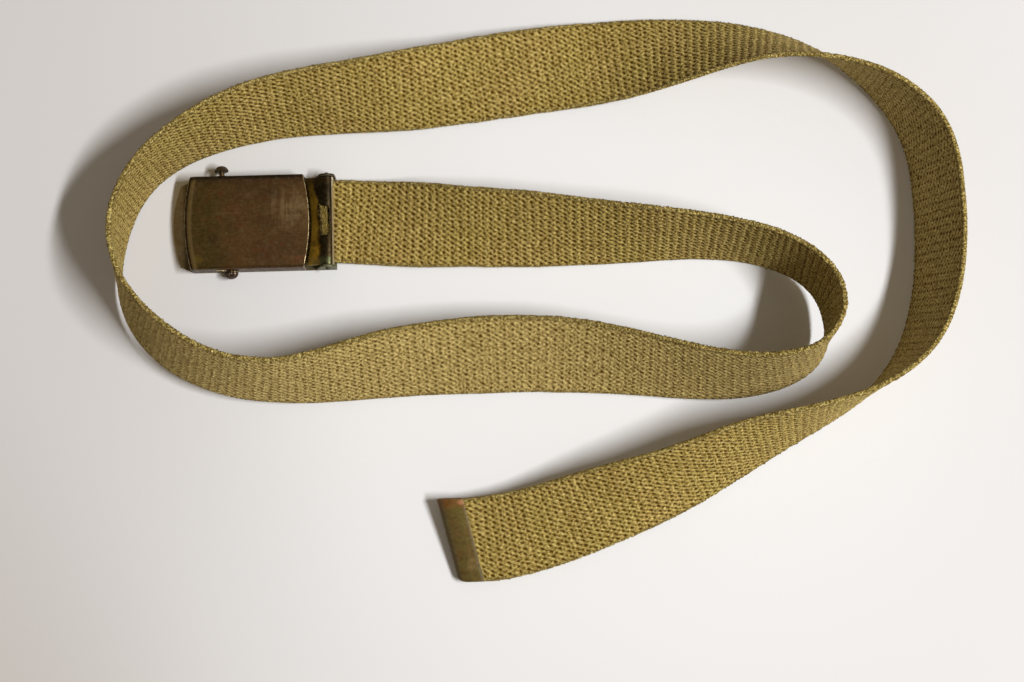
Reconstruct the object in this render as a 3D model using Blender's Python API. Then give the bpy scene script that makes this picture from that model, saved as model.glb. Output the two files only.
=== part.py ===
"""Web belt: khaki cotton webbing with a folded brass tip, and a brass box buckle with a sliding roller
and a hinged clamp lever. The buckle lies on the surface with the origin under its middle, +X along the
buckle towards the webbing, +Z up. Values are in millimetres and are multiplied by MM on the way in."""

import math

import bmesh
import bpy
import numpy as np
from mathutils import Matrix, Vector

MM = 0.001

# Webbing
WEBBING_WIDTH = 31.75
WEBBING_THICKNESS = 2.0
WEBBING_STEP = 6.5
WEBBING_PAST_PIN = 9.0

# Sheet metal and clearances
SHEET = 0.8
FIT = 0.3
PIN_PLAY = 0.15
SIDE_SLACK = 0.9

# Buckle cover
COVER_LENGTH = 46.4
COVER_BEND = 1.6
END_BOW = 2.2
ROLLED_END_DROP = 0.9
ROLLED_END_LENGTH = 2.4

# Buckle base
LIP_LENGTH = 5.5
LIP_BOW = 2.9
LIP_CORNER_X = 5.0
LIP_CORNER_Y = 2.1
LUG_LENGTH = 7.2
LUG_RADIUS = 3.0

# Clamp
BARREL_RADIUS = 2.5
PIN_RADIUS = 0.8
PIN_END = 0.8
PIN_FROM_BASE_END = 3.0
TOOTH_DEPTH = 0.25
TOOTH_COUNT = 15
TOOTH_ANGLE = 256.0
ARM_START_ANGLE = 122.0
ARM_LENGTH = 5.8
ARM_DROP = 2.5
ARM_CLEARANCE = 0.5
CHEEK_THICKNESS = 0.8
WINDOW_LENGTH = 3.6
WINDOW_WIDTH = 11.2
WINDOW_CORNER = 0.8
WINDOW_RIGHT = 1.2

# Roller
AXLE_RADIUS = 1.0
SLEEVE_RADIUS = 2.0
SLEEVE_END_GAP = 0.5
NECK_LENGTH = 1.2
SPIGOT_RADIUS = 0.55
SPIGOT_LENGTH = 1.7
KNOB_RADIUS = 2.7
KNOB_LENGTH = 2.5
KNOB_FLUTES = 18
FLUTE_DEPTH = 0.16
ROLLER_FROM_COVER_END = 15.1
ROOM_UNDER_ROLLER = 1.9
ROLLER_END_SHIFT = 0.6
ROLLER_SKEW = 4.7
SLOT_SLOPE = 24.0
SLOT_REACH = 3.4

# Belt tip
TIP_SHEET = 0.55
TIP_OVERHANG = 0.15
TIP_LENGTH = 9.7
TIP_CORNER = 2.2
TIP_COVERED = 6.5

# Worked out from the values above
INNER_HALF = WEBBING_WIDTH / 2 + SIDE_SLACK
OUTER_HALF = INNER_HALF + SHEET
BASE_LENGTH = LIP_LENGTH + COVER_LENGTH + ARM_CLEARANCE + ARM_LENGTH + PIN_FROM_BASE_END
BASE_END_X = BASE_LENGTH / 2
COVER_LEFT_X = LIP_LENGTH - BASE_END_X
COVER_RIGHT_X = COVER_LEFT_X + COVER_LENGTH
FLANGE_FOOT_Z = SHEET + FIT
WEBBING_TOP_Z = SHEET + FIT + WEBBING_THICKNESS
PIN_X = BASE_END_X - PIN_FROM_BASE_END
PIN_Z = WEBBING_TOP_Z + FIT + BARREL_RADIUS
WEBBING_END_X = PIN_X - WEBBING_PAST_PIN
LEVER_HALF = INNER_HALF - FIT
ROLLER_X = COVER_LEFT_X + ROLLER_FROM_COVER_END
ROLLER_Z = SHEET + ROOM_UNDER_ROLLER + SLEEVE_RADIUS
BUCKLE_HEIGHT = ROLLER_Z + SLEEVE_RADIUS + WEBBING_THICKNESS + FIT + SHEET

# The webbing's route, from the clamp to the tip, on its middle line: x, y, the lift of its lower edge
# off the surface, and the lean of its left edge over its right edge in degrees.
ROUTE = (
    (WEBBING_END_X, 0.6, 1.1, 0),
    (31.0, 0.4, 1.1, 0),
    (43.0, -0.4, 0.6, 2),
    (55.0, -1.5, 0.2, 8),
    (70.0, -3.0, 0.2, 20),
    (85.5, -4.5, 0.2, 30),
    (108.5, -6.5, 0.3, 42),
    (132.0, -8.5, 0.4, 54),
    (155.5, -10.0, 0.5, 65),
    (179.0, -13.0, 0.7, 73),
    (193.8, -17.5, 1.4, 76),
    (206.5, -26.5, 4.0, 80),
    (212.1, -41.0, 7.0, 86),
    (206.0, -55.0, 6.9, 100),
    (192.3, -61.5, 5.4, 109),
    (169.0, -62.0, 3.2, 118),
    (138.5, -56.5, 0.5, 132),
    (107.5, -52.5, 0.2, 145),
    (76.0, -52.5, 0.2, 144),
    (44.5, -55.5, 0.3, 132),
    (14.0, -60.0, 2.2, 115),
    (-9.5, -57.5, 4.8, 113),
    (-30.5, -46.5, 6.0, 114),
    (-45.0, -28.0, 4.7, 105),
    (-48.0, -5.0, 2.6, 90),
    (-39.0, 16.5, 1.0, 83),
    (-20.5, 31.0, 0.6, 73),
    (9.0, 41.5, 0.4, 57),
    (40.5, 45.5, 0.6, 46),
    (70.5, 50.0, 0.5, 24),
    (101.5, 55.0, 0.2, 10),
    (132.5, 58.5, 0.2, -4),
    (162.5, 60.5, 0.4, -31),
    (192.5, 60.5, 1.6, -57),
    (215.0, 55.0, 1.5, -74),
    (235.0, 43.5, 0.9, -93),
    (249.5, 25.0, 0.6, -107),
    (253.5, 1.5, 0.6, -111),
    (251.5, -30.0, 0.6, -110),
    (243.5, -52.0, 0.7, -103),
    (227.0, -68.5, 0.9, -89),
    (205.5, -78.5, 0.7, -76),
    (183.5, -86.5, 0.6, -60),
    (155.0, -99.0, 1.4, -43),
    (125.5, -109.0, 1.2, -25),
    (95.0, -117.7, 0.5, -12),
    (84.0, -119.2, 0.5, -9),
    (72.9, -119.4, 0.5, -8.5),
)
FLAT_SOFTNESS = 0.1

# The webbing's end is cut on the skew and crimped narrower
END_SKEW = 0.225
END_NARROWING = 0.045
CRIMP_LENGTH = 14.0


def clear_scene():
    for old in list(bpy.data.objects):
        bpy.data.objects.remove(old, do_unlink=True)


def material(name, colour, roughness, metallic):
    made = bpy.data.materials.new(name)
    made.use_nodes = True
    shader = made.node_tree.nodes["Principled BSDF"]
    shader.inputs["Base Color"].default_value = (*colour, 1.0)
    shader.inputs["Roughness"].default_value = roughness
    shader.inputs["Metallic"].default_value = metallic
    made.diffuse_color = (*colour, 1.0)
    return made


def make_object(name, points, faces, finish=None, matrix=None):
    """A closed solid from points in millimetres, with its faces turned outwards."""
    mesh = bpy.data.meshes.new(name)
    mesh.from_pydata([Vector(point) * MM for point in points], [], faces)
    shape = bmesh.new()
    shape.from_mesh(mesh)
    bmesh.ops.recalc_face_normals(shape, faces=shape.faces)
    shape.to_mesh(mesh)
    shape.free()
    made = bpy.data.objects.new(name, mesh)
    bpy.context.scene.collection.objects.link(made)
    if finish:
        mesh.materials.append(finish)
    if matrix:
        made.matrix_world = matrix
    return made


def smooth(target, angle=35.0):
    target.data.shade_smooth()
    target.data.set_sharp_from_angle(angle=math.radians(angle))


def prism(name, outline, low, high, across="Z", finish=None):
    """An outline extruded from low to high across one axis: (x, y) over Z, or (x, z) over Y."""
    if across == "Z":
        ends = [[(x, y, level) for x, y in outline] for level in (low, high)]
    else:
        ends = [[(x, level, z) for x, z in outline] for level in (low, high)]
    count = len(outline)
    faces = [tuple(range(count)), tuple(range(count, 2 * count))]
    for i in range(count):
        j = (i + 1) % count
        faces.append((i, j, count + j, count + i))
    return make_object(name, ends[0] + ends[1], faces, finish)


def loft(name, sections, finish=None, matrix=None):
    """Sections joined in order and capped. Each goes out along one side of a sheet and back."""
    count = len(sections[0])
    points = [point for section in sections for point in section]
    faces = []
    for k in range(len(sections) - 1):
        for i in range(count):
            j = (i + 1) % count
            faces.append((k * count + i, k * count + j, (k + 1) * count + j, (k + 1) * count + i))
    for start in (0, len(points) - count):
        for i in range(count // 2 - 1):
            back = start + count - 1 - i
            faces.append((start + i, start + i + 1, back - 1, back))
    return make_object(name, points, faces, finish, matrix)


def turned(name, profile, segments, finish, matrix, closed=False, flutes=0):
    """A profile of (radius, height, fluted) turned about its own Z axis."""
    points = []
    rings = []
    for radius, height, fluted in profile:
        if radius == 0:
            rings.append([len(points)] * segments)
            points.append((0, 0, height))
            continue
        ring = []
        for i in range(segments):
            angle = 2 * math.pi * i / segments
            cut = FLUTE_DEPTH * (0.5 - 0.5 * math.cos(flutes * angle)) if fluted else 0
            ring.append(len(points))
            points.append(((radius - cut) * math.cos(angle), (radius - cut) * math.sin(angle), height))
        rings.append(ring)
    faces = []
    pairs = list(zip(rings, rings[1:]))
    if closed:
        pairs.append((rings[-1], rings[0]))
    for lower, upper in pairs:
        for i in range(segments):
            j = (i + 1) % segments
            corners = (lower[i], lower[j], upper[j], upper[i])
            faces.append(tuple(dict.fromkeys(corners)))
    made = make_object(name, points, faces, finish, matrix)
    smooth(made)
    return made


def use_boolean(target, other, operation):
    step = target.modifiers.new(operation.title() + " " + other.name, "BOOLEAN")
    step.operation = operation
    step.solver = "EXACT"
    step.object = other
    other.hide_render = True
    other.display_type = "WIRE"


def rod(name, radius, low, high, x, z, segments=24):
    """A plain round bar along Y, used as a cutter."""
    outline = []
    for i in range(segments):
        angle = 2 * math.pi * (i + 0.5) / segments
        outline.append((x + radius * math.cos(angle), z + radius * math.sin(angle)))
    return prism(name, outline, low, high, across="Y")


def arc(centre, radius, start, end, count):
    """Points on an arc, with its angles in degrees."""
    found = []
    for i in range(count + 1):
        angle = math.radians(start + (end - start) * i / count)
        found.append((centre[0] + radius * math.cos(angle), centre[1] + radius * math.sin(angle)))
    return found


# Cover ------------------------------------------------------------------------------------------


def cover_section(offset):
    """The cover's cross-section in (y, z), from one flange's foot over the top to the other's."""
    radius = COVER_BEND - offset
    half = OUTER_HALF - offset
    corner_z = BUCKLE_HEIGHT - COVER_BEND
    right = arc((OUTER_HALF - COVER_BEND, corner_z), radius, 0, 90, 5)
    top = [(half * share, BUCKLE_HEIGHT - offset) for share in (0.66, 0.33, 0.0, -0.33, -0.66)]
    left = arc((COVER_BEND - OUTER_HALF, corner_z), radius, 90, 180, 5)
    right = [(half, FLANGE_FOOT_Z), (half, corner_z / 2), *right]
    left = [*left, (-half, corner_z / 2), (-half, FLANGE_FOOT_Z)]
    return [*right, *top, *left]


def cover_bow(y):
    """How far the cover's bowed ends fall back at this distance from its middle."""
    return END_BOW * (y / OUTER_HALF) ** 2


def make_cover(brass):
    shares = (0.0, 0.012, 0.025, 0.04, 0.055, 0.2, 0.4, 0.6, 0.8, 1.0)
    sections = []
    for share in shares:
        ring = []
        for side, offset in ((1, 0.0), (-1, SHEET)):
            line = []
            for y, z in cover_section(offset):
                left = COVER_LEFT_X + cover_bow(y)
                right = COVER_RIGHT_X - cover_bow(y)
                x = left + (right - left) * share
                near = max(0.0, 1 - (x - left) / ROLLED_END_LENGTH)
                height = (z - FLANGE_FOOT_Z) / (BUCKLE_HEIGHT - FLANGE_FOOT_Z)
                line.append((x, y, z - ROLLED_END_DROP * near**2 * height))
            ring += line[::side]
        sections.append(ring)
    cover = loft("face_cover", sections, brass)
    slope = math.radians(SLOT_SLOPE)
    half_width = AXLE_RADIUS + FIT + 0.1
    outline = []
    for side in (1, -1):
        centre = (
            ROLLER_X - side * SLOT_REACH * math.cos(slope),
            ROLLER_Z + side * SLOT_REACH * math.sin(slope),
        )
        start = 90 - SLOT_SLOPE if side == 1 else 270 - SLOT_SLOPE
        outline += arc(centre, half_width, start, start + 180, 8)
    slot = prism("slot_cutter", outline, -2 * OUTER_HALF, 2 * OUTER_HALF, across="Y")
    use_boolean(cover, slot, "DIFFERENCE")
    smooth(cover, 25.0)
    return cover


# Base -------------------------------------------------------------------------------------------


def base_outline():
    edge_y = OUTER_HALF - LIP_CORNER_Y
    lip = []
    for i in range(13):
        y = edge_y * (1 - i / 6)
        lip.append((-BASE_END_X + LIP_BOW * (y / edge_y) ** 2, y))
    shoulder_x = -BASE_END_X + LIP_BOW + LIP_CORNER_X
    end = [(BASE_END_X, -OUTER_HALF), (BASE_END_X, OUTER_HALF)]
    return [*end, (shoulder_x, OUTER_HALF), *lip, (shoulder_x, -OUTER_HALF)]


def make_base(brass):
    base = prism("base_frame", base_outline(), 0, SHEET, finish=brass)
    lug_left = BASE_END_X - LUG_LENGTH
    lug = [(BASE_END_X, SHEET / 2), *arc((PIN_X, PIN_Z), LUG_RADIUS, 0, 180, 12)]
    lug += [(lug_left, PIN_Z - LUG_RADIUS), (lug_left, SHEET / 2)]
    for side, name in ((1, "north"), (-1, "south")):
        low, high = sorted((side * INNER_HALF, side * OUTER_HALF))
        use_boolean(base, prism("lug_" + name, lug, low, high, across="Y"), "UNION")
    bore = rod("lug_bore", PIN_RADIUS + PIN_PLAY, -2 * OUTER_HALF, 2 * OUTER_HALF, PIN_X, PIN_Z)
    use_boolean(base, bore, "DIFFERENCE")
    smooth(base, 30.0)
    return base


# Clamp ------------------------------------------------------------------------------------------


def lever_section(y, tooth):
    """The lever's curled sheet in (x, z) from its pin: round the barrel, then down along the arm."""
    inner = BARREL_RADIUS - SHEET
    end_x = COVER_RIGHT_X - cover_bow(y) + ARM_CLEARANCE - PIN_X
    outer_arc = arc((0, 0), BARREL_RADIUS, TOOTH_ANGLE, 360 + ARM_START_ANGLE, 18)
    inner_arc = arc((0, 0), inner, TOOTH_ANGLE, 360 + ARM_START_ANGLE, 18)
    tip_angle = math.radians(TOOTH_ANGLE)
    if tooth:
        outer_arc[0] = (
            (BARREL_RADIUS + TOOTH_DEPTH) * math.cos(tip_angle),
            (BARREL_RADIUS + TOOTH_DEPTH) * math.sin(tip_angle),
        )
    outer_arm = []
    inner_arm = []
    start_x, start_z = outer_arc[-1]
    slope = math.tan(math.radians(ARM_START_ANGLE - 90))
    reach = start_x - end_x
    for i in range(1, 5):
        share = i / 4
        x = start_x - reach * share
        z = start_z - slope * reach * share + (slope * reach - ARM_DROP) * share**2
        outer_arm.append((x, z))
        inner_arm.append((x, z - SHEET))
    return outer_arc + outer_arm + inner_arm[::-1] + inner_arc[::-1]


def make_lever(brass):
    at_pin = Matrix.Translation(Vector((PIN_X, 0, PIN_Z)) * MM)
    sections = []
    steps = 2 * TOOTH_COUNT
    for k in range(steps + 1):
        y = LEVER_HALF * (2 * k / steps - 1)
        sections.append([(x, y, z) for x, z in lever_section(y, k % 2 == 1)])
    lever = loft("clamp_lever", sections, brass, at_pin)
    for side, name in ((1, "north"), (-1, "south")):
        low, high = sorted((side * LEVER_HALF, side * (LEVER_HALF - CHEEK_THICKNESS)))
        cheek = rod("cheek_" + name, BARREL_RADIUS - SHEET / 2, low, high, 0, 0)
        cheek.matrix_world = at_pin
        use_boolean(lever, cheek, "UNION")
    bore = rod("lever_bore", PIN_RADIUS + PIN_PLAY, -2 * LEVER_HALF, 2 * LEVER_HALF, 0, 0)
    bore.matrix_world = at_pin
    use_boolean(lever, bore, "DIFFERENCE")
    left = WINDOW_RIGHT - WINDOW_LENGTH
    half = WINDOW_WIDTH / 2
    outline = [
        (left, -half),
        (WINDOW_RIGHT - WINDOW_CORNER, -half),
        (WINDOW_RIGHT, WINDOW_CORNER - half),
        (WINDOW_RIGHT, half - WINDOW_CORNER),
        (WINDOW_RIGHT - WINDOW_CORNER, half),
        (left, half),
    ]
    window = prism("window_cutter", outline, PIN_RADIUS, 2 * BARREL_RADIUS)
    window.matrix_world = at_pin
    use_boolean(lever, window, "DIFFERENCE")
    smooth(lever, 40.0)
    return lever


def make_pin(brass):
    half = OUTER_HALF + PIN_END
    along_y = Matrix.Translation(Vector((PIN_X, 0, PIN_Z)) * MM) @ Matrix.Rotation(-math.pi / 2, 4, "X")
    dome = PIN_RADIUS * 0.45
    profile = [(0, -half, 0), (PIN_RADIUS * 0.6, -half, 0), (PIN_RADIUS, dome - half, 0)]
    profile += [(PIN_RADIUS, half - dome, 0), (PIN_RADIUS * 0.6, half, 0), (0, half, 0)]
    return turned("hinge_pin", profile, 20, brass, along_y)


# Roller -----------------------------------------------------------------------------------------


def roller_matrix():
    """The roller's own frame: its middle, with Z along the axle from its south end to its north end."""
    skew = math.radians(ROLLER_SKEW)
    lift = math.sin(skew) * math.tan(math.radians(SLOT_SLOPE))
    north = Vector((-math.sin(skew), math.cos(skew), lift)).normalized()
    turn = Vector((0, 0, 1)).rotation_difference(north).to_matrix().to_4x4()
    middle = Vector((ROLLER_X, 0, ROLLER_Z)) + north * ROLLER_END_SHIFT
    return Matrix.Translation(middle * MM) @ turn


def make_roller(steel, dark):
    frame = roller_matrix()
    shoulder = OUTER_HALF + NECK_LENGTH
    spigot = shoulder + SPIGOT_LENGTH
    axle = [(0, -spigot, 0), (SPIGOT_RADIUS, -spigot, 0)]
    axle += [(SPIGOT_RADIUS, -shoulder, 0), (AXLE_RADIUS, -shoulder, 0)]
    axle += [(radius, -height, 0) for radius, height, _ in reversed(axle)]
    turned("roller_axle", axle, 20, steel, frame)
    sleeve_half = INNER_HALF - ROLLER_END_SHIFT - SLEEVE_END_GAP
    bore = AXLE_RADIUS + PIN_PLAY
    sleeve = [(SLEEVE_RADIUS, height * sleeve_half, 1) for height in (-1, 0, 1)]
    sleeve += [(bore, sleeve_half, 0), (bore, -sleeve_half, 0)]
    turned("roller_sleeve", sleeve, 48, steel, frame, closed=True, flutes=12)
    for side, name in ((1, "north"), (-1, "south")):
        foot = shoulder + PIN_PLAY
        bore = SPIGOT_RADIUS + PIN_PLAY
        knob = [(0, foot + SPIGOT_LENGTH + PIN_PLAY, 0), (bore, foot + SPIGOT_LENGTH + PIN_PLAY, 0)]
        knob += [(bore, foot, 0), (KNOB_RADIUS * 0.86, foot, 0)]
        for i in range(7):
            angle = math.radians(8 + 70 * i / 6)
            knob.append((KNOB_RADIUS * math.cos(angle), foot + KNOB_LENGTH * math.sin(angle), i < 5))
        knob.append((0, foot + KNOB_LENGTH, 0))
        matrix = frame @ Matrix.Rotation(0 if side == 1 else math.pi, 4, "X")
        turned("roller_knob_" + name, knob, 72, dark, matrix, flutes=KNOB_FLUTES)


# Webbing and tip --------------------------------------------------------------------------------


def spline(knots, values):
    """A natural cubic through the values at the knots, as a function of the knot value."""
    steps = np.diff(knots)
    count = len(knots)
    matrix = np.zeros((count, count))
    right = np.zeros(count)
    matrix[0, 0] = 1
    matrix[-1, -1] = 1
    for i in range(1, count - 1):
        matrix[i, i - 1 : i + 2] = steps[i - 1], 2 * (steps[i - 1] + steps[i]), steps[i]
        right[i] = 6 * ((values[i + 1] - values[i]) / steps[i] - (values[i] - values[i - 1]) / steps[i - 1])
    bends = np.linalg.solve(matrix, right)

    def value(at):
        i = np.clip(np.searchsorted(knots, at) - 1, 0, count - 2)
        h = steps[i]
        before = (knots[i + 1] - at) / h
        after = (at - knots[i]) / h
        curve = (before**3 - before) * bends[i] + (after**3 - after) * bends[i + 1]
        return before * values[i] + after * values[i + 1] + curve * h * h / 6

    return value


def webbing_frames(step):
    """Evenly spaced (middle, along, across, up) frames of the webbing, from the clamp to its end."""
    route = np.array(ROUTE, float)
    knots = np.concatenate([[0], np.cumsum(np.hypot(*np.diff(route[:, :2], axis=0).T))])
    fine = np.linspace(0, knots[-1], 4000)
    x, y, lift, lean = (spline(knots, route[:, column])(fine) for column in range(4))
    lean = np.radians(lean)
    raised = np.sqrt(np.sin(lean) ** 2 + FLAT_SOFTNESS**2)
    on_metal = raised - FLAT_SOFTNESS * np.exp(-((fine / 30) ** 4))
    z = lift + WEBBING_WIDTH / 2 * on_metal + WEBBING_THICKNESS / 2 * np.abs(np.cos(lean))
    middle = np.stack([x, y, z], axis=1)
    length = np.concatenate([[0], np.cumsum(np.linalg.norm(np.diff(middle, axis=0), axis=1))])
    count = int(round(length[-1] / step))
    at = np.linspace(0, length[-1], count + 1)
    middle = np.stack([np.interp(at, length, middle[:, k]) for k in range(3)], axis=1)
    lean = np.interp(at, length, lean)
    along = np.gradient(middle, axis=0)
    along /= np.linalg.norm(along, axis=1)[:, None]
    level = np.stack([-along[:, 1], along[:, 0], 0 * lean], axis=1)
    level /= np.linalg.norm(level, axis=1)[:, None]
    rise = np.cross(along, level)
    across = level * np.cos(lean)[:, None] + rise * np.sin(lean)[:, None]
    share = np.clip(1 - (at[-1] - at) / CRIMP_LENGTH, 0, 1)
    share = (share * share * (3 - 2 * share))[:, None]
    across = across * (1 - END_NARROWING * share) - along * END_SKEW * share
    return middle, along, across, np.cross(along, across), length[-1]


def make_webbing(cotton):
    middle, _, across, up, _ = webbing_frames(WEBBING_STEP)
    sections = []
    for centre, side, normal in zip(middle, across, up):
        ring = []
        for u, v in ((-1, -1), (1, -1), (1, 1), (-1, 1)):
            ring.append(centre + side * u * WEBBING_WIDTH / 2 + normal * v * WEBBING_THICKNESS / 2)
        sections.append(ring)
    webbing = loft("webbing", sections, cotton)
    smooth(webbing, 40.0)
    return webbing


def tip_section(reach):
    """The tip's folded sheet in (along, up), from its upper leaf's edge round the fold to the lower."""
    inner = WEBBING_THICKNESS / 2 + FIT
    outer = inner + TIP_SHEET
    fold = reach - outer
    outside = [(-TIP_COVERED, outer), *arc((fold, 0), outer, 90, -90, 10), (-TIP_COVERED, -outer)]
    inside = [(-TIP_COVERED, -inner), *arc((fold, 0), inner, -90, 90, 10), (-TIP_COVERED, inner)]
    return outside + inside


def make_tip(brass):
    middle, along, across, up, _ = webbing_frames(WEBBING_STEP)
    centre, along, across, up = middle[-1], along[-1], across[-1], up[-1]
    half = WEBBING_WIDTH / 2 + TIP_OVERHANG
    stations = [-half, -half / 2, 0, half / 2]
    stations += [half - TIP_CORNER * (1 - math.sin(math.radians(15 * i))) for i in range(7)]
    sections = []
    for y in stations:
        into_corner = max(0.0, y - half + TIP_CORNER)
        cut_back = TIP_CORNER - math.sqrt(TIP_CORNER**2 - min(into_corner, TIP_CORNER) ** 2)
        ring = []
        for u, v in tip_section(TIP_LENGTH - TIP_COVERED - cut_back):
            ring.append(centre + along * u + across * y + up * v)
        sections.append(ring)
    tip = loft("belt_tip", sections, brass)
    smooth(tip)
    return tip


def main():
    clear_scene()
    bronze = material("bronze_patina", (0.10, 0.062, 0.032), 0.42, 0.9)
    old_brass = material("old_brass", (0.23, 0.16, 0.06), 0.4, 0.9)
    tip_brass = material("tip_brass", (0.21, 0.16, 0.08), 0.42, 0.9)
    gunmetal = material("gunmetal", (0.05, 0.036, 0.026), 0.35, 0.9)
    cotton = material("khaki_cotton", (0.46, 0.36, 0.18), 0.95, 0.0)
    make_base(bronze)
    make_cover(bronze)
    make_lever(old_brass)
    make_pin(gunmetal)
    make_roller(old_brass, gunmetal)
    make_webbing(cotton)
    make_tip(tip_brass)


main()
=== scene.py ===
"""Visual model of the web belt: woven khaki webbing with its fibres, the brass box buckle and the tip, on a
pale floor under one soft light. Lengths are in metres unless a name says mm."""

import math

import bmesh
import bpy
import numpy as np
from mathutils import Matrix, Vector


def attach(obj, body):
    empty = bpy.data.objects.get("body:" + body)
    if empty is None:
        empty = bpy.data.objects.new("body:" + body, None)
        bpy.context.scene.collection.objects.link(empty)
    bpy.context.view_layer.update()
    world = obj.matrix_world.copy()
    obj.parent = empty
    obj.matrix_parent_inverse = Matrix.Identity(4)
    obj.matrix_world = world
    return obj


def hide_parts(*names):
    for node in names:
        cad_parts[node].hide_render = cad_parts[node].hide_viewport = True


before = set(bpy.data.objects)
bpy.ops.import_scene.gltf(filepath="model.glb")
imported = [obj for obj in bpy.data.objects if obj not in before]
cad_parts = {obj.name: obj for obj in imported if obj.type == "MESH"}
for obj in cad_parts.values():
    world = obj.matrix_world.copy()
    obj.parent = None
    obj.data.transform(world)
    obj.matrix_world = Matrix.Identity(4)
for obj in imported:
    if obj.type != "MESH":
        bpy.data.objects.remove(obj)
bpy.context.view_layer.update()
MM = 0.001

# Webbing, as in the CAD
WIDTH = 31.75
THICKNESS = 2.0
END_X = 18.6
FLAT_SOFTNESS = 0.1
END_SKEW = 0.225
END_NARROWING = 0.045
CRIMP_LENGTH = 14.0
ON_METAL_LENGTH = 30
ROUTE_SAMPLES = 6000
SMOOTHING = 31
ROUTE = (
    (END_X, 0.6, 1.1, 0),
    (31.0, 0.4, 1.1, 0),
    (43.0, -0.4, 0.6, 2),
    (55.0, -1.5, 0.2, 8),
    (70.0, -3.0, 0.2, 20),
    (85.5, -4.5, 0.2, 30),
    (108.5, -6.5, 0.3, 42),
    (132.0, -8.5, 0.4, 54),
    (155.5, -10.0, 0.5, 65),
    (179.0, -13.0, 0.7, 73),
    (193.8, -17.5, 1.4, 76),
    (206.5, -26.5, 4.0, 80),
    (212.1, -41.0, 7.0, 86),
    (206.0, -55.0, 6.9, 100),
    (192.3, -61.5, 5.4, 109),
    (169.0, -62.0, 3.2, 118),
    (138.5, -56.5, 0.5, 132),
    (107.5, -52.5, 0.2, 145),
    (76.0, -52.5, 0.2, 144),
    (44.5, -55.5, 0.3, 132),
    (14.0, -60.0, 2.2, 115),
    (-9.5, -57.5, 4.8, 113),
    (-30.5, -46.5, 6.0, 114),
    (-45.0, -28.0, 4.7, 105),
    (-48.0, -5.0, 2.6, 90),
    (-39.0, 16.5, 1.0, 83),
    (-20.5, 31.0, 0.6, 73),
    (9.0, 41.5, 0.4, 57),
    (40.5, 45.5, 0.6, 46),
    (70.5, 50.0, 0.5, 24),
    (101.5, 55.0, 0.2, 10),
    (132.5, 58.5, 0.2, -4),
    (162.5, 60.5, 0.4, -31),
    (192.5, 60.5, 1.6, -57),
    (215.0, 55.0, 1.5, -74),
    (235.0, 43.5, 0.9, -93),
    (249.5, 25.0, 0.6, -107),
    (253.5, 1.5, 0.6, -111),
    (251.5, -30.0, 0.6, -110),
    (243.5, -52.0, 0.7, -103),
    (227.0, -68.5, 0.9, -89),
    (205.5, -78.5, 0.7, -76),
    (183.5, -86.5, 0.6, -60),
    (155.0, -99.0, 1.4, -43),
    (125.5, -109.0, 1.2, -25),
    (95.0, -117.7, 0.5, -12),
    (84.0, -119.2, 0.5, -9),
    (72.9, -119.4, 0.5, -8.5),
)

# Weave: one cell holds one repeat of the pattern
CELLS_ACROSS = 16
CELL_WIDTH = WIDTH / CELLS_ACROSS
CELL_LENGTH = 2.985
STEPS_ACROSS = 5
STEPS_ALONG = 7
EDGE_STEPS = 5
EDGE_ROUNDING = 0.75
SELVAGE_WIDTH = 1.15
SLANT = math.radians(44)
LARGE_PIT = (0.0, 0.0, 0.86, 0.46, 1.0)
SMALL_PIT = (0.5, 0.5, 0.56, 0.42, 0.72)
PIT_DEPTH = 0.6
BACK_PIT_SHARE = 0.8
YARN_PITCH = 0.8
UV_BANDS = 4
FLOOR_GAP = 0.02

# Fibres
FIBRE_POINTS = 5
FIBRE_SIDES = 3
EDGE_FIBRES = 5200
FACE_FIBRES = 2600
PIN_X = 27.6
CLEAR_OF_BUCKLE = 22
CLEAR_OF_TIP = 18
TUFT_FIBRES = 460
TUFT_LEFT = 25.2
TUFT_NORTH = 5.2
TUFT_SOUTH = -6.0
TUFT_SLOPE = 1.1
TUFT_WIDTH = 2.4
TUFT_LEVELS = (6.4, 7.5)

# Node materials ---------------------------------------------------------------------------------


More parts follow.
